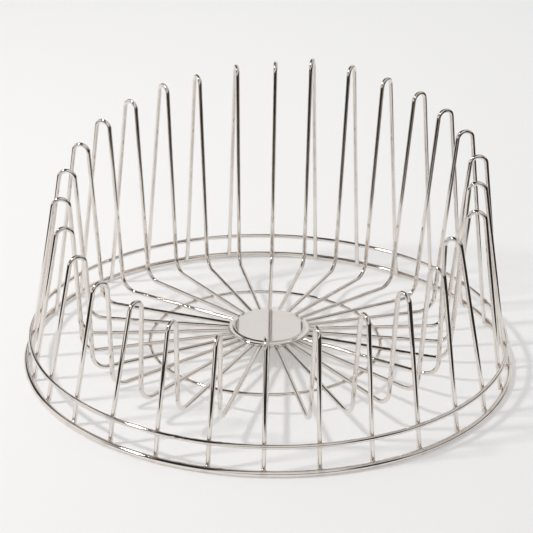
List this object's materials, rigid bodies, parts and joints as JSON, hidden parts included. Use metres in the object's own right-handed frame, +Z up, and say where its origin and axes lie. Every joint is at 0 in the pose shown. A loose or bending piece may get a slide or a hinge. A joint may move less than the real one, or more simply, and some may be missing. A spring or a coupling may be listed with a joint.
{
  "type": "round wire cooling rack",
  "caption": "Round welded wire cooling rack: radial hairpin wires rise from a base ring, tall at the back and low at the front, and meet under a polished centre disc.",
  "frame": {"origin": "on the surface the rack stands on, at the middle of the base ring", "axes": "+Z up, +Y towards the tall side of the rim, so -Y is the low front; X across"},
  "size_m": [0.3334, 0.3334, 0.1699],
  "materials": {
    "bent_wire": "bright polished, with fine drawing lines along the wire",
    "ring_wire": "bright polished, a little duller at the welds",
    "disc": "mirror polished top with a lower bevelled rim",
    "hub": "plain rolled steel"
  },
  "bodies": {
    "root": {"base_ring": "ring_wire", "mid_ring": "ring_wire", "floor_ring": "ring_wire", "centre_disc": "disc", "hub_plate": "hub", "wire_01": "bent_wire", "wire_02": "bent_wire", "wire_03": "bent_wire", "wire_04": "bent_wire", "wire_05": "bent_wire", "wire_06": "bent_wire", "wire_07": "bent_wire", "wire_08": "bent_wire", "wire_09": "bent_wire", "wire_10": "bent_wire", "wire_11": "bent_wire", "wire_12": "bent_wire", "wire_13": "bent_wire", "wire_14": "bent_wire", "wire_15": "bent_wire", "wire_16": "bent_wire", "wire_17": "bent_wire", "wire_18": "bent_wire", "wire_19": "bent_wire", "wire_20": "bent_wire", "wire_21": "bent_wire", "wire_22": "bent_wire", "wire_23": "bent_wire", "wire_24": "bent_wire", "wire_25": "bent_wire", "wire_26": "bent_wire", "wire_27": "bent_wire", "wire_28": "bent_wire", "wire_29": "bent_wire", "wire_30": "bent_wire"}
  },
  "joints": []
}
